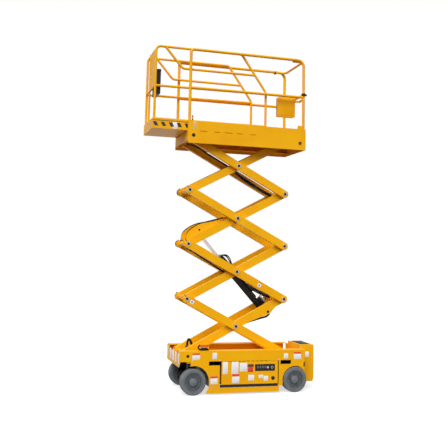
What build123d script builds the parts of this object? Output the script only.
"""Electric slab scissor lift: four scissor stages, roll-out deck extension, swing-out trays.

Millimetres.  +X is the steered front, +Y the machine's left side, +Z up, floor at z = 0.
Places along the machine are counted ahead of the scissor's fixed pivot line.
"""
from build123d import *
from math import atan2, cos, degrees, hypot, radians, sin
import os

os.makedirs("parts", exist_ok=True)

# ------------------------------------------------------------------ driving sizes
# scissor stack
STAGES = 4
ARM_LENGTH = 1500.0        # pin to pin
ARM_DEPTH = 100.0
ARM_WIDTH = 50.0
ARM_WALL = 5.0
ARM_OVERHANG = 42.0        # past the end pins
ARM_CHAMFER = 22.0
LIFT_ANGLE = 27.8          # arms above the horizontal, as parked
LIFT_PIVOT_Z = 480.0
INNER_FACE_Y = 150.0       # inside faces of the inner arms
ARM_GAP = 5.0              # between inner and outer arms
PIN_R = 20.0
RUNNING_FIT = 0.06         # radial, on every pin
SEAT_GAP = 0.3             # between faces that slide or turn on each other
HEAD_R = 27.0
HEAD_T = 7.0
BOSS_R = 31.0
CROSS_TUBE_R = 28.0
ROLLER_W = 50.0
CLEAR = 5.0                # between moving pieces

# lift cylinder, in the frames of the arms that carry it
LOWER_EYE_ALONG = 1242.0
LOWER_EYE_UP = -54.0
UPPER_EYE_ALONG = 222.0
UPPER_EYE_UP = 95.0
BARREL_R = 42.0
BARREL_LENGTH = 958.0
ROD_R = 22.0
ROD_LENGTH = 1000.0
EYE_R = 45.0
EYE_W = 70.0
EYE_PIN_HALF = 94.0

# chassis
HALF_WIDTH = 380.0
CHASSIS_FRONT = 97.0
CHASSIS_REAR = -1578.0
BEAM_BOTTOM = 420.0
BEAM_H = 120.0
BEAM_W = 110.0
BEAM_T = 8.0
FRONT_PLATE_BOTTOM = 338.0
FRONT_PLATE_TOP = 550.0
FRONT_PLATE_CHAMFER = 45.0
FRONT_RECESS_HALF = 272.0  # dip in the front plate's top edge
FRONT_RECESS_DEPTH = 58.0
JUNCTION_X = (-285.0, -148.0)
JUNCTION_INSET = 12.0      # from the beam's inside edge
JUNCTION_W = 50.0
JUNCTION_H = 58.0
GLAND_X = -168.0
GLAND_R = 9.0
GLAND_H = 18.0
DECK_T = 8.0
AXLE_PLATE_T = 20.0
PANEL_T = 5.0
PANEL_BOTTOM = 90.0
SPINE_HALF = 165.0
POCKET_W = 145.0
POCKET_H = 50.0
POCKET_WALL = 5.0
FRONT_POCKET = -421.0      # rear inside face of the front fork pocket
REAR_POCKET = -1384.0      # rear inside face of the rear fork pocket
GUARD_BOTTOM = 20.0
GUARD_TOP = 86.0
GUARD_T = 12.0
GUARD_FRONT = -239.0
GUARD_RAMP = 45.0
GUARD_REAR = -1221.0
GUARD_ARM_W = 8.0
GUARD_ARM_INSET = 40.0
GUARD_ARM_FOOT = 20.0      # above the guard's lower edge
GUARD_ARM_LAP = 30.0       # behind the side panel

# wheels and steering
WHEEL_R = 161.5
WHEEL_W = 105.0
RIM_R = 118.0
FRONT_AXLE = -82.0
WHEELBASE = 1362.0
ARCH_FRONT_R = 200.0
ARCH_REAR_R = 174.0
KINGPIN_Y = 290.0
KINGPIN_R = 20.0
SPINDLE_R = 20.0
YOKE_BOTTOM = 345.0
YOKE_T = 40.0
LEG_Y = (232.0, 262.0)
LEG_HALF = 55.0
YOKE_R = 66.0
COLLAR_R = 34.0
STUB_R = 38.0
MOTOR_R = 62.0
MOTOR_END_Y = 110.0
HUB_INSET_IN = 8.0
HUB_INSET_OUT = 16.0
SPINDLE_SHORT = 20.0       # inside the hub's outer face
AXLE_FLANGE_R = 55.0
AXLE_FLANGE_T = 12.0

# swing-out trays
DOOR_FRONT = -443.0
DOOR_REAR = -1203.0
DOOR_BOTTOM = 112.0
DOOR_TOP = 409.0
DOOR_T = 4.0
DOOR_GAP_FRONT = 22.0
DOOR_GAP_REAR = 12.0
TRAY_FRONT = -472.0
TRAY_REAR = -1150.0
TRAY_INSIDE_Y = 182.0
HINGE_X = -448.0
HINGE_Y = 366.0
HINGE_R = 8.0
HINGE_PIN_R = 5.0
CONSOLE_X = (-1163.0, -889.0)      # ground controls in the left door
CONSOLE_Z = (281.0, 367.0)
CONSOLE_T = 14.0

# rear steps
STEPS_REAR = -1785.0
STEPS_HALF = 200.0
STEPS_BOTTOM = 100.0
STEPS_TOP = 578.0
STEPS_CORNER = 50.0
STEP_TREADS = (30.0, 175.0, 320.0)     # above the steps' lower edge
STEP_LIP_X = 15.0
STEP_LIP_H = 30.0
STEP_TREAD_T = 8.0

# platform
DECK_FRONT = 74.0
DECK_REAR = -1574.0
DECK_HALF = 370.0
DECK_SIDE_T = 4.0
SIDE_BOTTOM_DROP = 97.0    # side panel below the pivot
SIDE_TOP_RISE = 190.0      # side panel above the pivot
FLOOR_T = 6.0
FLOOR_INSET = 70.0
RAIL_R = 19.0
RAIL_FRONT = 55.0
RAIL_REAR = -1548.0
RAIL_TOP_RISE = 1156.0
RAIL_MID_RISE = 638.0
RAIL_FRONT_BEND = 45.0
RAIL_REAR_BEND = 90.0
HOOP_R = 16.0              # top bar across the entry, bent round to lie beside the rails
HOOP_FRONT = -1400.0
HOOP_INSET = 30.0
HOOP_DROP = 14.0
HOOP_BEND = 80.0
ENTRY_BAR_R = 16.0         # bar that slides up the rear posts
SLEEVE_R = 27.0
SLEEVE_H = 34.0
SLEEVE_FIT = 1.5           # radial, on the rear posts
GUSSET_LENGTH = 98.0       # corner plates beside the entry
GUSSET_H = 45.0

# platform control box, on its bracket from the rear post
CONTROL_REAR = -1455.0
CONTROL_LENGTH = 250.0
CONTROL_INSET = 94.0       # from the platform's side
CONTROL_W = 71.0
CONTROL_RISE = (366.0, 636.0)
BRACKET_T = 10.0
BRACKET_H = 30.0
BRACKET_DROP = 26.0        # below the middle rail

# deck extension
EXT_OUT = 452.0            # drawn out as parked
EXT_STROKE = 900.0
EXT_FRONT = 85.0           # front of its deck when fully in
EXT_LENGTH = 1567.0
EXT_SIDE_INSET = 48.0      # its side plates inside the platform's
EXT_SIDE_T = 6.0
EXT_FLOOR_RISE = 6.0       # above the main floor
EXT_SHOE_H = 12.0          # slide shoes and pads under its side plates
EXT_SHOE_LENGTH = 60.0
EXT_SIDE_STEP = 20.0       # its side plates stand above the platform's
EXT_RAIL_R = 16.0
EXT_TOP_STEP = 12.0        # its top rail above the platform's
EXT_FRONT_BEND = 60.0
EXT_SLOPE_LOW = (16.0, 670.0)     # bends of its rails: ahead of its rear end, above the pivot
EXT_SLOPE_MID = (177.0, 900.0)
EXT_SLOPE_TOP = 367.0
EXT_SLOPE_BENDS = (60.0, 200.0, 120.0)
EXT_SECOND_RISE = 895.0
EXT_SECOND_RAMP = (1183.0, 1420.0)
EXT_SECOND_BEND = 80.0
EXT_MID_REAR_RISE = 650.0
FRONT_POST_Y = -95.0
INFILL_T = 4.0
DOCUMENT_INSET = 30.0      # from the extension's side rail
DOCUMENT_W = 240.0
DOCUMENT_RISE = (535.0, 865.0)
DOCUMENT_T = 62.0

# ------------------------------------------------------------------ worked out
RISE = ARM_LENGTH * sin(radians(LIFT_ANGLE))
RUN = ARM_LENGTH * cos(radians(LIFT_ANGLE))
FRONT_REACH = EXT_FRONT + EXT_OUT
PIVOT_X = (-STEPS_REAR - FRONT_REACH) / 2      # puts the footprint's middle on x = 0
INNER_OUT_Y = INNER_FACE_Y + ARM_WIDTH
OUTER_IN_Y = INNER_OUT_Y + ARM_GAP
OUTER_OUT_Y = OUTER_IN_Y + ARM_WIDTH
BORE_R = PIN_R + RUNNING_FIT
CHANNEL_EDGE_Y = HALF_WIDTH - BEAM_W
ROLLER_R = BEAM_H / 2 - BEAM_T - SEAT_GAP
ROLLER_Y = CHANNEL_EDGE_Y + CLEAR
PIVOT_PIN_Y = ROLLER_Y + ROLLER_W / 2
DECK_TOP = BEAM_BOTTOM
DECK_UNDER = DECK_TOP - DECK_T
PLATFORM_PIVOT_Z = LIFT_PIVOT_Z + STAGES * RISE
FLOOR_UNDER = PLATFORM_PIVOT_Z + BEAM_H / 2
FLOOR_TOP = FLOOR_UNDER + FLOOR_T
SIDE_TOP = PLATFORM_PIVOT_Z + SIDE_TOP_RISE
TRACK_TOP = PLATFORM_PIVOT_Z + BEAM_H / 2
RAIL_TOP_Z = PLATFORM_PIVOT_Z + RAIL_TOP_RISE
RAIL_Y = DECK_HALF - DECK_SIDE_T - RAIL_R
CONTROL_Y = (DECK_HALF - CONTROL_INSET - CONTROL_W, DECK_HALF - CONTROL_INSET)
RAIL_MID_Z = PLATFORM_PIVOT_Z + RAIL_MID_RISE
EXT_FRONT_X = EXT_FRONT + EXT_OUT
EXT_REAR_X = EXT_FRONT_X - EXT_LENGTH
EXT_FLOOR_Z = FLOOR_TOP + EXT_FLOOR_RISE
EXT_SIDE_Y = DECK_HALF - EXT_SIDE_INSET
EXT_RAIL_Y = EXT_SIDE_Y - EXT_SIDE_T - EXT_RAIL_R
DOCUMENT_Y = (EXT_RAIL_Y - DOCUMENT_INSET - DOCUMENT_W, EXT_RAIL_Y - DOCUMENT_INSET)
EXT_SIDE_BOTTOM = TRACK_TOP + EXT_SHOE_H
EXT_SIDE_TOP = SIDE_TOP + EXT_SIDE_STEP
EXT_TOP_Z = RAIL_TOP_Z + EXT_TOP_STEP
REAR_AXLE = FRONT_AXLE - WHEELBASE


def ahead(distance):
    """World X of a place so far ahead of the fixed pivot line."""
    return PIVOT_X + distance


def front_pin(level):
    return Vector(ahead(0), 0, LIFT_PIVOT_Z + level * RISE)


def rear_pin(level):
    return Vector(ahead(-RUN), 0, LIFT_PIVOT_Z + level * RISE)


def centre_pin(stage):
    return Vector(ahead(-RUN / 2), 0, LIFT_PIVOT_Z + (stage - 0.5) * RISE)


# ------------------------------------------------------------------ helpers
def block(x, y, z, mode=Mode.ADD):
    """Box between two X, two Y and two Z values; X is ahead of the pivot line."""
    with Locations((ahead(sum(x) / 2), sum(y) / 2, sum(z) / 2)):
        Box(abs(x[1] - x[0]), abs(y[1] - y[0]), abs(z[1] - z[0]), mode=mode)


def rod_y(x, z, radius, y, mode=Mode.ADD):
    """Cylinder along Y at world x and z, between two Y values."""
    plane = Plane(origin=(x, y[0], z), x_dir=(1, 0, 0), z_dir=(0, 1, 0))
    with BuildSketch(plane) as disc:
        Circle(radius)
    extrude(disc.sketch, amount=y[1] - y[0], mode=mode)


def rod_z(x, y, radius, z, mode=Mode.ADD):
    """Upright cylinder at x ahead of the pivot line, between two Z values."""
    with BuildSketch(Plane(origin=(ahead(x), y, z[0]))) as disc:
        Circle(radius)
    extrude(disc.sketch, amount=z[1] - z[0], mode=mode)


def tube(points, radius, bends=None):
    """Round bar along a path of straight runs with bends of the radii given."""
    with BuildLine() as path:
        if bends:
            FilletPolyline(*points, radius=bends)
        else:
            Polyline(*points)
    start = path.line @ 0
    with BuildSketch(Plane(origin=start, z_dir=path.line % 0)) as section:
        Circle(radius)
    sweep(section.sketch, path=path.line)


def side_plate(points, y, mode=Mode.ADD):
    """Flat plate from (x ahead of pivot, z) corners, between two Y values."""
    plane = Plane(origin=(ahead(0), y[0], 0), x_dir=(1, 0, 0), z_dir=(0, -1, 0))
    with BuildSketch(plane) as outline:
        with BuildLine():
            Polyline(*points, close=True)
        make_face()
    extrude(outline.sketch, amount=y[0] - y[1], mode=mode)


def arm_frame(front, rear, y):
    """Plane with X along an arm from its front pin and Y square to it, upwards."""
    along = rear - front
    return Plane(origin=(front.X, y, front.Z), x_dir=along, z_dir=(0, 1, 0))


def arm_profile(frame, depth, chamfered):
    with BuildSketch(frame) as profile:
        with Locations((ARM_LENGTH / 2, 0)):
            Rectangle(ARM_LENGTH + 2 * ARM_OVERHANG, depth)
        if chamfered:
            chamfer(profile.vertices(), ARM_CHAMFER)
    return profile.sketch


def arm_discs(frame, radius, places):
    with BuildSketch(frame) as discs:
        with Locations(*[(along, 0) for along in places]):
            Circle(radius)
    return discs.sketch


def box_section_arm(front, rear, y, bored, bore_r=BORE_R):
    """Rectangular tube arm with a boss at each pin; bored says which are drilled."""
    frame = arm_frame(front, rear, y)
    pins = (0, ARM_LENGTH / 2, ARM_LENGTH)
    half = ARM_WIDTH / 2
    extrude(arm_profile(frame, ARM_DEPTH, True), amount=half, both=True)
    hollow = arm_profile(frame, ARM_DEPTH - 2 * ARM_WALL, False)
    extrude(hollow, amount=half - ARM_WALL, both=True, mode=Mode.SUBTRACT)
    extrude(arm_discs(frame, BOSS_R, pins), amount=half, both=True)
    extrude(arm_discs(frame, bore_r, bored), amount=half, both=True, mode=Mode.SUBTRACT)


def finish(part, name):
    part.part.label = name
    export_step(part.part, f"parts/{name}.step")


# ------------------------------------------------------------------ inner arm pairs
# outlines in an arm's frame: (along the arm, up from its middle)
HUMP_ARCS = (((20, 45), (48, 101), (95, 131)), ((95, 131), (165, 147), (235, 152)),
             ((235, 152), (330, 141), (401, 117)))
HUMP_TAIL = ((401, 117), (681, 56), (690, 45), (20, 45))
SPACER = ((40, -45), (40, 45), (600, 45), (600, -45))
LUG = ((930, -48), (1140, -72), (1205, -86), (1270, -86), (1300, -72), (1370, -48))
HOSE_CLIP = ((590, -52), (620, -52), (620, -24), (590, -24))
HOSE_GLAND = ((1250, -84), (1286, -84), (1286, -50), (1250, -50))
HOSE_R = 13.0
HOSE_Y = INNER_FACE_Y - HOSE_R - SEAT_GAP


def plate_on_arm(frame, corners, thickness, arcs=()):
    with BuildSketch(frame) as outline:
        with BuildLine():
            for start, middle, end in arcs:
                ThreePointArc(start, middle, end)
            Polyline(*corners, close=not arcs)
        make_face()
    extrude(outline.sketch, amount=thickness)


def inner_arms(stage):
    front, rear = front_pin(stage - 1), rear_pin(stage)
    centre_y = INNER_FACE_Y + ARM_WIDTH / 2
    with BuildPart() as pair:
        box_section_arm(front, rear, centre_y, (0, ARM_LENGTH / 2, ARM_LENGTH), PIN_R)
        for place in (front, rear):
            rod_y(place.X, place.Z, CROSS_TUBE_R, (0, INNER_FACE_Y))
        if stage == 1:
            plate_on_arm(arm_frame(front, rear, INNER_FACE_Y), LUG, ARM_WIDTH)
            eye = arm_frame(front, rear, 0)
            with BuildSketch(eye) as pin:
                with Locations((LOWER_EYE_ALONG, LOWER_EYE_UP)):
                    Circle(PIN_R)
            extrude(pin.sketch, amount=INNER_OUT_Y + SEAT_GAP)
            # clip and gland that hold the supply hose on the arm's inside face
            for holder in (HOSE_CLIP, HOSE_GLAND):
                plate_on_arm(arm_frame(front, rear, HOSE_Y - HOSE_R), holder, 2 * HOSE_R + 2 * SEAT_GAP)
        if stage == 3:
            plate_on_arm(arm_frame(front, rear, INNER_FACE_Y - 18), HUMP_TAIL, 13, HUMP_ARCS)
            plate_on_arm(arm_frame(front, rear, INNER_FACE_Y - 18), SPACER, 18)
            stub = arm_frame(front, rear, EYE_PIN_HALF + 6)
            with BuildSketch(stub) as pin:
                with Locations((UPPER_EYE_ALONG, UPPER_EYE_UP)):
                    Circle(PIN_R)
            extrude(pin.sketch, amount=INNER_FACE_Y - CLEAR - EYE_PIN_HALF - 6)
        mirror(about=Plane.XZ)
    return pair


def pivot_pins(stage):
    """Headed pins pressed into an inner pair; the outer arms turn on them."""
    head_y = OUTER_OUT_Y + SEAT_GAP
    # each row: where the pin sits, and how it ends outboard
    pins = ((front_pin(stage - 1), "head" if stage > 1 else "pivot"),
            (centre_pin(stage), "head"),
            (rear_pin(stage), "head" if stage < STAGES else "roller"))
    with BuildPart() as part:
        for place, ending in pins:
            reach = {"head": head_y, "pivot": PIVOT_PIN_Y, "roller": ROLLER_Y + ROLLER_W}[ending]
            rod_y(place.X, place.Z, PIN_R, (INNER_FACE_Y, reach))
            if ending == "head":
                rod_y(place.X, place.Z, HEAD_R, (head_y, head_y + HEAD_T))
        mirror(about=Plane.XZ)
    return part


# ------------------------------------------------------------------ outer arm pairs
def outer_arms(stage):
    front, rear = front_pin(stage), rear_pin(stage - 1)
    centre_y = OUTER_IN_Y + ARM_WIDTH / 2
    bored = [ARM_LENGTH / 2]
    if stage < STAGES:
        bored.append(0)
    if stage > 1:
        bored.append(ARM_LENGTH)
    with BuildPart() as pair:
        box_section_arm(front, rear, centre_y, bored)
        if stage == 1:
            rod_y(rear.X, rear.Z, PIN_R, (centre_y, ROLLER_Y + ROLLER_W))
        if stage == STAGES:
            rod_y(front.X, front.Z, PIN_R, (centre_y, PIVOT_PIN_Y))
            rod_y(front.X, front.Z, CROSS_TUBE_R, (0, OUTER_IN_Y))
        mirror(about=Plane.XZ)
    return pair


def rollers(place):
    with BuildPart() as pair:
        rod_y(place.X, place.Z, ROLLER_R, (ROLLER_Y, ROLLER_Y + ROLLER_W))
        rod_y(place.X, place.Z, PIN_R, (ROLLER_Y, ROLLER_Y + ROLLER_W), Mode.SUBTRACT)
        mirror(about=Plane.XZ)
    return pair


for stage in range(1, STAGES + 1):
    finish(inner_arms(stage), f"inner_arms_{stage}")
    finish(outer_arms(stage), f"outer_arms_{stage}")
    finish(pivot_pins(stage), f"pivot_pins_{stage}")
finish(rollers(rear_pin(0)), "lower_rollers")
finish(rollers(rear_pin(STAGES)), "upper_rollers")


# ------------------------------------------------------------------ lift cylinder
def arm_point(front, rear, along, up):
    spot = arm_frame(front, rear, 0).from_local_coords((along, up, 0))
    return Vector(spot.X, 0, spot.Z)


lower_eye = arm_point(front_pin(0), rear_pin(1), LOWER_EYE_ALONG, LOWER_EYE_UP)
upper_eye = arm_point(front_pin(2), rear_pin(3), UPPER_EYE_ALONG, UPPER_EYE_UP)
cylinder_axis = (upper_eye - lower_eye).normalized()
rest_length = (upper_eye - lower_eye).length


def along_cylinder(distance):
    return Plane(origin=lower_eye + cylinder_axis * distance, x_dir=(0, 1, 0), z_dir=cylinder_axis)


with BuildPart() as barrel:
    rod_y(lower_eye.X, lower_eye.Z, EYE_R, (-EYE_W / 2, EYE_W / 2))
    with BuildSketch(along_cylinder(EYE_R * 0.6)) as tube_section:
        Circle(BARREL_R)
    extrude(tube_section.sketch, amount=BARREL_LENGTH - EYE_R * 0.6)
    with BuildSketch(along_cylinder(BARREL_LENGTH - 60)) as gland:
        Circle(BARREL_R + 6)
    extrude(gland.sketch, amount=60)
    # holding valve block behind the barrel, and the hard pipe up to the gland
    valve_up = Vector(-cylinder_axis.Z, 0, cylinder_axis.X)
    valve = Plane(origin=lower_eye + cylinder_axis * 170 + valve_up * (BARREL_R - 8),
                  x_dir=(0, 1, 0), z_dir=valve_up)
    with BuildSketch(valve) as block_outline:
        with Locations((0, 50)):
            Rectangle(60, 100)
    extrude(block_outline.sketch, amount=66)
    with BuildSketch(along_cylinder(200)) as pipe:
        with Locations(pipe.workplanes[0].to_local_coords(
                lower_eye + cylinder_axis * 200 + valve_up * (BARREL_R + 7))):
            Circle(8)
    extrude(pipe.sketch, amount=BARREL_LENGTH - 230)
    with BuildSketch(along_cylinder(60)) as bore:
        Circle(ROD_R + RUNNING_FIT)
    extrude(bore.sketch, amount=BARREL_LENGTH, mode=Mode.SUBTRACT)
    rod_y(lower_eye.X, lower_eye.Z, BORE_R, (-EYE_W, EYE_W), Mode.SUBTRACT)
finish(barrel, "cylinder_barrel")

with BuildPart() as rod:
    with BuildSketch(along_cylinder(rest_length - ROD_LENGTH)) as rod_section:
        Circle(ROD_R)
    extrude(rod_section.sketch, amount=ROD_LENGTH)
    rod_y(upper_eye.X, upper_eye.Z, EYE_R, (-EYE_W / 2, EYE_W / 2))
    rod_y(upper_eye.X, upper_eye.Z, PIN_R, (-EYE_PIN_HALF, EYE_PIN_HALF))
finish(rod, "cylinder_rod")

# ------------------------------------------------------------------ hoses held along the arms
HOSE_TRAY_Y = (-126.0, -88.0)
HOSE_TRAY_D = 40.0


def hose_tray(stage):
    """Channel hung between the cross tubes of the neighbouring pairs, beside an outer pair."""
    front, rear = front_pin(stage), rear_pin(stage - 1)
    frame = arm_frame(front, rear, HOSE_TRAY_Y[0])
    depth = HOSE_TRAY_Y[1] - HOSE_TRAY_Y[0]
    ring_r = CROSS_TUBE_R + RUNNING_FIT
    with BuildPart() as tray:
        with BuildSketch(frame) as run:
            with Locations((ARM_LENGTH / 2, 0)):
                Rectangle(ARM_LENGTH, HOSE_TRAY_D)
        extrude(run.sketch, amount=depth)
        extrude(arm_discs(frame, ring_r + 8, (0, ARM_LENGTH)), amount=depth)
        extrude(arm_discs(frame, ring_r, (0, ARM_LENGTH)), amount=depth, mode=Mode.SUBTRACT)
    return tray


finish(hose_tray(2), "hose_run_2")
finish(hose_tray(4), "hose_run_4")

# supply hose inside the lowest inner arm: (along the arm, up from its middle)
SUPPLY_ROUTE = ((620, -38), (845, -43), (1074, -84), (1170, -107), (1245, -109), (1268, -84.3))
with BuildPart() as supply:
    lowest = arm_frame(front_pin(0), rear_pin(1), HOSE_Y)
    with BuildLine() as route:
        Spline(*[lowest.from_local_coords((a, u, 0)) for a, u in SUPPLY_ROUTE],
               tangents=(lowest.x_dir, lowest.y_dir))
    with BuildSketch(Plane(origin=route.line @ 0, z_dir=route.line % 0)) as hose_section:
        Circle(HOSE_R)
    sweep(hose_section.sketch, path=route.line)
finish(supply, "supply_hose")

# ------------------------------------------------------------------ chassis frame
beam_z = (BEAM_BOTTOM, BEAM_BOTTOM + BEAM_H)
chassis_x = (CHASSIS_REAR, CHASSIS_FRONT)
with BuildPart() as beams:
    block(chassis_x, (HALF_WIDTH - BEAM_T, HALF_WIDTH), (DECK_UNDER, beam_z[1]))
    for low in (BEAM_BOTTOM, BEAM_BOTTOM + BEAM_H - BEAM_T):
        block(chassis_x, (CHANNEL_EDGE_Y, HALF_WIDTH), (low, low + BEAM_T))
    # boss for the scissor's fixed pivot, with the pin's inspection hole outside
    rod_y(ahead(0), LIFT_PIVOT_Z, 40, (ROLLER_Y, HALF_WIDTH))
    rod_y(ahead(0), LIFT_PIVOT_Z, BORE_R, (ROLLER_Y, PIVOT_PIN_Y + SEAT_GAP), Mode.SUBTRACT)
    rod_y(ahead(0), LIFT_PIVOT_Z, 15, (HALF_WIDTH - 16, HALF_WIDTH), Mode.SUBTRACT)
    mirror(about=Plane.XZ)
finish(beams, "side_beams")

with BuildPart() as deck_plate:
    block(chassis_x, (0, HALF_WIDTH - BEAM_T), (DECK_UNDER, DECK_TOP))
    block((FRONT_AXLE - 90, FRONT_AXLE + 90), (0, HALF_WIDTH - BEAM_T),
          (DECK_UNDER - AXLE_PLATE_T, DECK_UNDER))
    rod_z(FRONT_AXLE, KINGPIN_Y, KINGPIN_R + RUNNING_FIT,
          (DECK_UNDER - AXLE_PLATE_T, DECK_TOP), Mode.SUBTRACT)
    # rear closing plate between the beams
    block((CHASSIS_REAR, CHASSIS_REAR + BEAM_T), (0, CHANNEL_EDGE_Y), beam_z)
    mirror(about=Plane.XZ)
finish(deck_plate, "chassis_deck")

# fork pockets: channels under the deck, straight through from side to side
pocket_z = (DECK_UNDER - POCKET_H, DECK_UNDER)
with BuildPart() as pockets:
    for x in (FRONT_POCKET, REAR_POCKET):
        outer = (x - POCKET_WALL, x + POCKET_W + POCKET_WALL)
        block(outer, (0, HALF_WIDTH - PANEL_T), (pocket_z[0] - POCKET_WALL, pocket_z[1]))
        block((x, x + POCKET_W), (0, HALF_WIDTH), pocket_z, Mode.SUBTRACT)
    mirror(about=Plane.XZ)
finish(pockets, "fork_pockets")

# central spine between the trays, with the wheel-house walls and the trays' end walls
spine_front = FRONT_AXLE - ARCH_FRONT_R - 18
tray_rear_wall = DOOR_REAR - DOOR_GAP_REAR - PANEL_T
with BuildPart() as spine:
    block((CHASSIS_REAR, spine_front), (SPINE_HALF - PANEL_T, SPINE_HALF), (PANEL_BOTTOM, DECK_UNDER))
    block((CHASSIS_REAR, spine_front), (0, SPINE_HALF), (PANEL_BOTTOM, PANEL_BOTTOM + PANEL_T))
    for x in (CHASSIS_REAR, spine_front - PANEL_T):
        block((x, x + PANEL_T), (0, SPINE_HALF), (PANEL_BOTTOM, DECK_UNDER))
    for x in (spine_front - PANEL_T, FRONT_POCKET, tray_rear_wall):
        block((x, x + PANEL_T), (SPINE_HALF, HALF_WIDTH - PANEL_T), (PANEL_BOTTOM, DECK_UNDER))
    for x in (FRONT_POCKET, REAR_POCKET):
        block((x - POCKET_WALL, x + POCKET_W + POCKET_WALL), (0, HALF_WIDTH),
              (pocket_z[0] - POCKET_WALL, DECK_UNDER), Mode.SUBTRACT)
    # hinge lugs of the swing-out tray, cranked inwards so that the open door clears them
    for z in (DOOR_BOTTOM + 20, DOOR_TOP - 64):
        block((HINGE_X - HINGE_R, FRONT_POCKET), (HINGE_Y - 34, HINGE_Y - 20), (z, z + 8))
        block((HINGE_X - HINGE_R, HINGE_X + HINGE_R - 3), (HINGE_Y - 34, HINGE_Y), (z, z + 8))
        rod_z(HINGE_X, HINGE_Y, HINGE_R, (z, z + 8))
        rod_z(HINGE_X, HINGE_Y, HINGE_PIN_R + RUNNING_FIT, (z, z + 8), Mode.SUBTRACT)
    mirror(about=Plane.XZ)
finish(spine, "chassis_spine")

# control junction box standing on the left beam, with its cable gland
with BuildPart() as junction:
    junction_y = (CHANNEL_EDGE_Y + JUNCTION_INSET, CHANNEL_EDGE_Y + JUNCTION_INSET + JUNCTION_W)
    junction_top = beam_z[1] + JUNCTION_H
    block(JUNCTION_X, junction_y, (beam_z[1], junction_top))
    fillet(junction.edges().filter_by(Axis.Y), 8)
    rod_z(GLAND_X, sum(junction_y) / 2, GLAND_R, (junction_top, junction_top + GLAND_H))
finish(junction, "junction_box")

with BuildPart() as front_plate:
    with BuildSketch(Plane(origin=(ahead(CHASSIS_FRONT), 0, 0), x_dir=(0, 1, 0), z_dir=(1, 0, 0))) as face:
        with Locations((0, (FRONT_PLATE_BOTTOM + FRONT_PLATE_TOP) / 2)):
            Rectangle(2 * HALF_WIDTH, FRONT_PLATE_TOP - FRONT_PLATE_BOTTOM)
        chamfer(face.vertices().group_by(Axis.Z)[0], FRONT_PLATE_CHAMFER)
        with BuildLine():
            dip = FRONT_PLATE_TOP - FRONT_RECESS_DEPTH
            floor_half = FRONT_RECESS_HALF - FRONT_RECESS_DEPTH / 2
            Polyline((-FRONT_RECESS_HALF, FRONT_PLATE_TOP), (-floor_half, dip), (floor_half, dip),
                     (FRONT_RECESS_HALF, FRONT_PLATE_TOP), close=True)
        make_face(mode=Mode.SUBTRACT)
    extrude(face.sketch, amount=PANEL_T)
finish(front_plate, "front_plate")


# ------------------------------------------------------------------ side panels
def arch(centre_x, radius):
    with BuildSketch(Plane(origin=(ahead(0), HALF_WIDTH, 0), x_dir=(1, 0, 0), z_dir=(0, -1, 0))) as cut:
        with Locations((centre_x, WHEEL_R)):
            Circle(radius)
    return cut.sketch


with BuildPart() as panels:
    panel_y = (HALF_WIDTH - PANEL_T, HALF_WIDTH)
    front_panel = (DOOR_FRONT + DOOR_GAP_FRONT, FRONT_AXLE + 44)
    rear_panel = (CHASSIS_REAR, DOOR_REAR - DOOR_GAP_REAR)
    for x in (front_panel, rear_panel):
        block(x, panel_y, (PANEL_BOTTOM, DECK_UNDER))
    for centre, radius in ((FRONT_AXLE, ARCH_FRONT_R), (REAR_AXLE, ARCH_REAR_R)):
        extrude(arch(centre, radius), amount=PANEL_T, mode=Mode.SUBTRACT)
        block((centre - radius, centre + radius), panel_y, (0, WHEEL_R), Mode.SUBTRACT)
    for x in (FRONT_POCKET, REAR_POCKET):
        block((x, x + POCKET_W), panel_y, pocket_z, Mode.SUBTRACT)
    mirror(about=Plane.XZ)
finish(panels, "side_panels")

# pothole guards, dropped as they are while the platform is up
with BuildPart() as guards:
    guard_y = (HALF_WIDTH - GUARD_T, HALF_WIDTH)
    side_plate(((GUARD_FRONT, GUARD_BOTTOM), (GUARD_FRONT - GUARD_RAMP, GUARD_TOP),
                (GUARD_REAR, GUARD_TOP), (GUARD_REAR, GUARD_BOTTOM)), guard_y)
    arm_y = (HALF_WIDTH - GUARD_ARM_INSET, HALF_WIDTH - PANEL_T - SEAT_GAP)
    for x in (GUARD_FRONT - GUARD_RAMP - 2 * GUARD_ARM_W, GUARD_REAR + GUARD_ARM_W):
        block((x, x + GUARD_ARM_W), arm_y, (GUARD_BOTTOM + GUARD_ARM_FOOT, PANEL_BOTTOM + GUARD_ARM_LAP))
    mirror(about=Plane.XZ)
finish(guards, "pothole_guards")


# ------------------------------------------------------------------ axles, knuckles, wheels
wheel_y = (HALF_WIDTH - WHEEL_W, HALF_WIDTH)
hub_y = (wheel_y[0] + HUB_INSET_IN, wheel_y[1] - HUB_INSET_OUT)

with BuildPart() as rear_axle:
    rod_y(ahead(REAR_AXLE), WHEEL_R, SPINDLE_R, (SPINE_HALF, hub_y[1] - SPINDLE_SHORT))
    rod_y(ahead(REAR_AXLE), WHEEL_R, AXLE_FLANGE_R, (SPINE_HALF, SPINE_HALF + AXLE_FLANGE_T))
    rod_y(ahead(REAR_AXLE), WHEEL_R, STUB_R, (SPINE_HALF, hub_y[0] - SEAT_GAP))
    mirror(about=Plane.XZ)
finish(rear_axle, "rear_axle_stubs")


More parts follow.
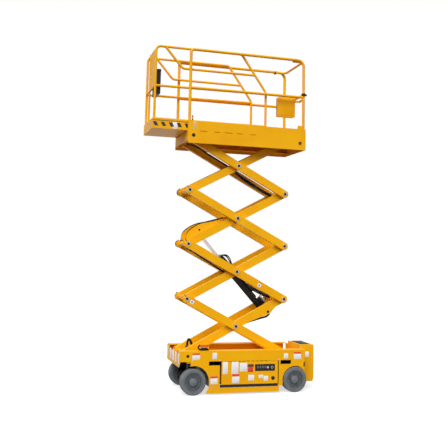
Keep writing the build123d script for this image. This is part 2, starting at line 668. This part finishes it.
def knuckle(side):
    """Kingpin yoke over the wheel, inner leg, stub spindle and drive motor."""
    with BuildPart() as part:
        top = YOKE_BOTTOM + YOKE_T
        leg_x = (FRONT_AXLE - LEG_HALF, FRONT_AXLE + LEG_HALF)
        block(leg_x, (LEG_Y[0], KINGPIN_Y), (YOKE_BOTTOM, top))
        rod_z(FRONT_AXLE, KINGPIN_Y, YOKE_R, (YOKE_BOTTOM, top))
        rod_z(FRONT_AXLE, KINGPIN_Y, COLLAR_R, (top, DECK_UNDER - AXLE_PLATE_T - SEAT_GAP))
        rod_z(FRONT_AXLE, KINGPIN_Y, KINGPIN_R, (top, DECK_TOP - 4))
        block(leg_x, LEG_Y, (WHEEL_R - MOTOR_R, YOKE_BOTTOM))
        rod_y(ahead(FRONT_AXLE), WHEEL_R, MOTOR_R, (MOTOR_END_Y, LEG_Y[0]))
        rod_y(ahead(FRONT_AXLE), WHEEL_R, STUB_R, (LEG_Y[1], hub_y[0] - SEAT_GAP))
        rod_y(ahead(FRONT_AXLE), WHEEL_R, SPINDLE_R, (LEG_Y[1], hub_y[1] - SPINDLE_SHORT))
        if side == "right":
            mirror(about=Plane.XZ, mode=Mode.REPLACE)
    return part


def tyre(centre_x, side):
    with BuildPart() as part:
        rod_y(ahead(centre_x), WHEEL_R, WHEEL_R, wheel_y)
        fillet(part.edges().filter_by(GeomType.CIRCLE), 12)
        rod_y(ahead(centre_x), WHEEL_R, RIM_R, wheel_y, Mode.SUBTRACT)
        if side == "right":
            mirror(about=Plane.XZ, mode=Mode.REPLACE)
    return part


def hub(centre_x, side):
    with BuildPart() as part:
        rod_y(ahead(centre_x), WHEEL_R, RIM_R, hub_y)
        rod_y(ahead(centre_x), WHEEL_R, RIM_R - 18, (hub_y[1] - 14, hub_y[1]), Mode.SUBTRACT)
        rod_y(ahead(centre_x), WHEEL_R, 52, (hub_y[1] - 14, hub_y[1] + 4))
        rod_y(ahead(centre_x), WHEEL_R, SPINDLE_R + RUNNING_FIT,
              (hub_y[0], hub_y[1] - SPINDLE_SHORT + 1), Mode.SUBTRACT)
        if side == "right":
            mirror(about=Plane.XZ, mode=Mode.REPLACE)
    return part


for side in ("left", "right"):
    finish(knuckle(side), f"knuckle_{side}")
    for end, centre in (("front", FRONT_AXLE), ("rear", REAR_AXLE)):
        finish(tyre(centre, side), f"tyre_{end}_{side}")
        finish(hub(centre, side), f"hub_{end}_{side}")

with BuildPart() as steer_cylinder:
    steer_x = FRONT_AXLE + 125
    rod_y(ahead(steer_x), DECK_UNDER - 30, 24, (0, 110))
    rod_y(ahead(steer_x), DECK_UNDER - 30, 10, (110, 150))
    block((steer_x - 12, steer_x + 12), (60, 80), (DECK_UNDER - 20, DECK_UNDER))
    mirror(about=Plane.XZ)
finish(steer_cylinder, "steer_cylinder")


# ------------------------------------------------------------------ swing-out trays
def tray(side):
    """Door plate with the tray behind it, hung on the front hinge pin."""
    with BuildPart() as part:
        block((DOOR_REAR, DOOR_FRONT), (HALF_WIDTH - DOOR_T, HALF_WIDTH), (DOOR_BOTTOM, DOOR_TOP))
        block((TRAY_REAR, TRAY_FRONT), (TRAY_INSIDE_Y, HALF_WIDTH - DOOR_T), (DOOR_BOTTOM, DOOR_BOTTOM + 5))
        for x in (TRAY_REAR, TRAY_FRONT - 5):
            block((x, x + 5), (TRAY_INSIDE_Y, HALF_WIDTH - DOOR_T), (DOOR_BOTTOM, DOOR_BOTTOM + 90))
        # hinge barrel between the frame's lugs, its pin, and the strap to the door
        low, high = DOOR_BOTTOM + 28 + SEAT_GAP, DOOR_TOP - 64 - SEAT_GAP
        rod_z(HINGE_X, HINGE_Y, HINGE_R, (low, high))
        rod_z(HINGE_X, HINGE_Y, HINGE_PIN_R, (low - 8, high + 8))
        block((HINGE_X - 12, HINGE_X), (HINGE_Y, HALF_WIDTH - DOOR_T), (low, high))
        if side == "right":
            mirror(about=Plane.XZ, mode=Mode.REPLACE)
    return part


def tray_load(side):
    x = (TRAY_REAR + 40, TRAY_FRONT - 30)
    y = (TRAY_INSIDE_Y + 10, HALF_WIDTH - DOOR_T - 25)
    with BuildPart() as part:
        block(x, y, (DOOR_BOTTOM + 5, DOOR_TOP - 60))
        if side == "right":
            mirror(about=Plane.XZ, mode=Mode.REPLACE)
    return part


finish(tray("left"), "tray_left")
finish(tray("right"), "tray_right")
finish(tray_load("left"), "power_unit")
finish(tray_load("right"), "battery_block")

# ------------------------------------------------------------------ rear steps
with BuildPart() as steps:
    steps_front = CHASSIS_REAR
    plane = Plane(origin=(ahead(0), STEPS_HALF, 0), x_dir=(1, 0, 0), z_dir=(0, -1, 0))
    with BuildSketch(plane) as cheek:
        with Locations(((steps_front + STEPS_REAR) / 2, (STEPS_BOTTOM + STEPS_TOP) / 2)):
            Rectangle(steps_front - STEPS_REAR, STEPS_TOP - STEPS_BOTTOM)
        fillet(cheek.vertices().group_by(Axis.X)[0].sort_by(Axis.Z)[0], STEPS_CORNER)
    extrude(cheek.sketch, amount=PANEL_T)
    # front closing plate, top cover and three treads
    block((steps_front - PANEL_T, steps_front), (0, STEPS_HALF), (STEPS_BOTTOM + 40, STEPS_TOP))
    block((STEPS_REAR + 12, steps_front), (0, STEPS_HALF), (STEPS_TOP - PANEL_T, STEPS_TOP))
    lip_rear = STEPS_REAR + STEP_LIP_X
    for z in [STEPS_BOTTOM + tread for tread in STEP_TREADS]:
        block((lip_rear, steps_front), (0, STEPS_HALF), (z, z + STEP_TREAD_T))
        block((lip_rear, lip_rear + STEP_TREAD_T), (0, STEPS_HALF), (z - STEP_LIP_H, z))
    mirror(about=Plane.XZ)
finish(steps, "rear_steps")

# ------------------------------------------------------------------ platform deck
side_z = (PLATFORM_PIVOT_Z - SIDE_BOTTOM_DROP, SIDE_TOP)
deck_x = (DECK_REAR, DECK_FRONT)
track_z = (PLATFORM_PIVOT_Z - BEAM_H / 2, TRACK_TOP)
SLOTS = ((-85, -179), (-280, -360), (-425, -530), (-590, -680), (-780, -860))
with BuildPart() as deck:
    block(deck_x, (DECK_HALF - DECK_SIDE_T, DECK_HALF), side_z)
    for low in (track_z[0], track_z[1] - BEAM_T):
        block(deck_x, (CHANNEL_EDGE_Y, DECK_HALF), (low, low + BEAM_T))
    block(deck_x, (0, DECK_HALF - FLOOR_INSET), (FLOOR_UNDER, FLOOR_TOP))
    rod_y(ahead(0), PLATFORM_PIVOT_Z, 40, (ROLLER_Y, DECK_HALF))
    rod_y(ahead(0), PLATFORM_PIVOT_Z, BORE_R, (ROLLER_Y, PIVOT_PIN_Y + SEAT_GAP), Mode.SUBTRACT)
    block((DECK_FRONT - 8, DECK_FRONT), (0, DECK_HALF), (track_z[0], track_z[1]))
    block((DECK_REAR, DECK_REAR + 6), (0, DECK_HALF), side_z)
    # pads that the deck extension slides on, and corner plates beside the entry
    block((DECK_FRONT - EXT_SHOE_LENGTH, DECK_FRONT), (EXT_RAIL_Y, EXT_SIDE_Y),
          (TRACK_TOP, EXT_SIDE_BOTTOM - SEAT_GAP))
    side_plate(((RAIL_REAR, SIDE_TOP), (RAIL_REAR, SIDE_TOP + GUSSET_H),
                (RAIL_REAR + GUSSET_LENGTH - 8, SIDE_TOP + GUSSET_H), (RAIL_REAR + GUSSET_LENGTH, SIDE_TOP)),
               (DECK_HALF - DECK_SIDE_T, DECK_HALF))
    for rear, front in SLOTS:
        block((front, rear), (DECK_HALF - DECK_SIDE_T, DECK_HALF), (FLOOR_UNDER, FLOOR_UNDER + 8), Mode.SUBTRACT)
    mirror(about=Plane.XZ)
finish(deck, "platform_deck")

# ------------------------------------------------------------------ platform rails
with BuildPart() as rails:
    tube([(ahead(RAIL_FRONT), RAIL_Y, TRACK_TOP), (ahead(RAIL_FRONT), RAIL_Y, RAIL_TOP_Z),
          (ahead(RAIL_REAR), RAIL_Y, RAIL_TOP_Z), (ahead(RAIL_REAR), RAIL_Y, TRACK_TOP)],
         RAIL_R, (RAIL_FRONT_BEND, RAIL_REAR_BEND))
    with BuildSketch(Plane(origin=(ahead(RAIL_REAR), RAIL_Y, RAIL_MID_Z), z_dir=(1, 0, 0))) as mid:
        Circle(RAIL_R - 1)
    extrude(mid.sketch, amount=RAIL_FRONT - RAIL_REAR)
    mirror(about=Plane.XZ)
    # top bar across the entry, welded beside both top rails
    hoop_y, hoop_z = RAIL_Y - HOOP_INSET, RAIL_TOP_Z - HOOP_DROP
    tube([(ahead(HOOP_FRONT), hoop_y, hoop_z), (ahead(RAIL_REAR), hoop_y, hoop_z),
          (ahead(RAIL_REAR), -hoop_y, hoop_z), (ahead(HOOP_FRONT), -hoop_y, hoop_z)],
         HOOP_R, HOOP_BEND)
    # bracket that holds the control box
    bracket_z = (RAIL_MID_Z - BRACKET_DROP - BRACKET_H, RAIL_MID_Z - BRACKET_DROP)
    bracket_x = RAIL_REAR + RAIL_R - BRACKET_T / 2
    bracket_y = (CONTROL_Y[0] + 30, CONTROL_Y[0] + 30 + BRACKET_T)
    block((bracket_x, bracket_x + BRACKET_T), (bracket_y[0], RAIL_Y), bracket_z)
    block((bracket_x, CONTROL_REAR - SEAT_GAP), bracket_y, bracket_z)
finish(rails, "platform_rails")

# entry bar: it rests on the middle rails and slides up the rear posts
with BuildPart() as gate:
    sleeve_low = RAIL_MID_Z + RAIL_R - 1 + SEAT_GAP
    sleeve_z = (sleeve_low, sleeve_low + SLEEVE_H)
    rod_y(ahead(RAIL_REAR), sleeve_low + ENTRY_BAR_R + 1, ENTRY_BAR_R, (0, RAIL_Y))
    rod_z(RAIL_REAR, RAIL_Y, SLEEVE_R, sleeve_z)
    rod_z(RAIL_REAR, RAIL_Y, RAIL_R + SLEEVE_FIT, sleeve_z, Mode.SUBTRACT)
    mirror(about=Plane.XZ)
finish(gate, "entry_gate")

# ------------------------------------------------------------------ platform control box
with BuildPart() as control:
    block((CONTROL_REAR, CONTROL_REAR + CONTROL_LENGTH), CONTROL_Y,
          [PLATFORM_PIVOT_Z + rise for rise in CONTROL_RISE])
    fillet(control.edges().filter_by(Axis.Y), 12)
finish(control, "control_box")

# ------------------------------------------------------------------ deck extension
ext_x = (EXT_REAR_X, EXT_FRONT_X)
ext_side_z = (EXT_SIDE_BOTTOM, EXT_SIDE_TOP)
with BuildPart() as ext_deck:
    block(ext_x, (EXT_SIDE_Y - EXT_SIDE_T, EXT_SIDE_Y), ext_side_z)
    block(ext_x, (0, EXT_SIDE_Y), (EXT_FLOOR_Z, EXT_FLOOR_Z + FLOOR_T))
    block((EXT_FRONT_X - EXT_SIDE_T, EXT_FRONT_X), (0, EXT_SIDE_Y), ext_side_z)
    block((EXT_REAR_X, EXT_REAR_X + EXT_SHOE_LENGTH), (EXT_RAIL_Y, EXT_SIDE_Y),
          (TRACK_TOP + SEAT_GAP, EXT_SIDE_BOTTOM + EXT_SIDE_T))
    mirror(about=Plane.XZ)
finish(ext_deck, "extension_deck")

ext_foot = EXT_FLOOR_Z + FLOOR_T
ext_post = EXT_FRONT_X - EXT_SIDE_T - EXT_RAIL_R
ext_corner = EXT_FRONT_BEND * (1 - cos(radians(45)))   # how far the bend cuts its corner
second_z = PLATFORM_PIVOT_Z + EXT_SECOND_RISE


def ext_rail(points, bends=None):
    """Side rail of the extension through (ahead of its rear end, z) points."""
    tube([(ahead(EXT_REAR_X + x), EXT_RAIL_Y, z) for x, z in points], EXT_RAIL_R, bends)


with BuildPart() as ext_rails:
    post_at = ext_post - EXT_REAR_X
    ext_rail(((post_at, ext_foot), (post_at, EXT_TOP_Z), (EXT_SLOPE_TOP, EXT_TOP_Z),
              (EXT_SLOPE_MID[0], PLATFORM_PIVOT_Z + EXT_SLOPE_MID[1]),
              (EXT_SLOPE_LOW[0], PLATFORM_PIVOT_Z + EXT_SLOPE_LOW[1]), (EXT_SLOPE_LOW[0], ext_foot)),
             (EXT_FRONT_BEND, *EXT_SLOPE_BENDS))
    ext_rail(((EXT_SLOPE_MID[0], second_z), (EXT_SECOND_RAMP[0], second_z), (EXT_SECOND_RAMP[1], EXT_TOP_Z)),
             EXT_SECOND_BEND)
    ext_rail(((EXT_SLOPE_LOW[0] + EXT_RAIL_R, PLATFORM_PIVOT_Z + EXT_MID_REAR_RISE), (post_at, RAIL_MID_Z)))
    rod_y(ahead(ext_post - ext_corner), EXT_TOP_Z - ext_corner, EXT_RAIL_R - 1, (0, EXT_RAIL_Y))
    rod_y(ahead(ext_post), RAIL_MID_Z, EXT_RAIL_R - 1, (0, EXT_RAIL_Y))
    mirror(about=Plane.XZ)
    rod_z(ext_post, FRONT_POST_Y, EXT_RAIL_R - 2, (ext_foot, EXT_TOP_Z - ext_corner))
finish(ext_rails, "extension_rails")

with BuildPart() as ext_plate:
    infill_rear = ext_post - ext_corner + EXT_RAIL_R - 1 + SEAT_GAP
    block((infill_rear, infill_rear + INFILL_T),
          (FRONT_POST_Y + EXT_RAIL_R - 2 + SEAT_GAP, EXT_RAIL_Y - EXT_RAIL_R - SEAT_GAP),
          (RAIL_MID_Z + EXT_RAIL_R - 1 + SEAT_GAP, EXT_TOP_Z - ext_corner))
finish(ext_plate, "front_infill_plate")

with BuildPart() as holder:
    holder_front = ext_post - EXT_RAIL_R + 1 - SEAT_GAP
    block((holder_front - DOCUMENT_T, holder_front), DOCUMENT_Y,
          [PLATFORM_PIVOT_Z + rise for rise in DOCUMENT_RISE])
    fillet(holder.edges().filter_by(Axis.Y), 10)
finish(holder, "document_box")

with BuildPart() as console:
    block(CONSOLE_X, (HALF_WIDTH - DOOR_T - CONSOLE_T, HALF_WIDTH - DOOR_T - SEAT_GAP), CONSOLE_Z)
finish(console, "ground_control_panel")
print("pivot x", PIVOT_X, "platform pivot z", PLATFORM_PIVOT_Z, "cylinder", rest_length)
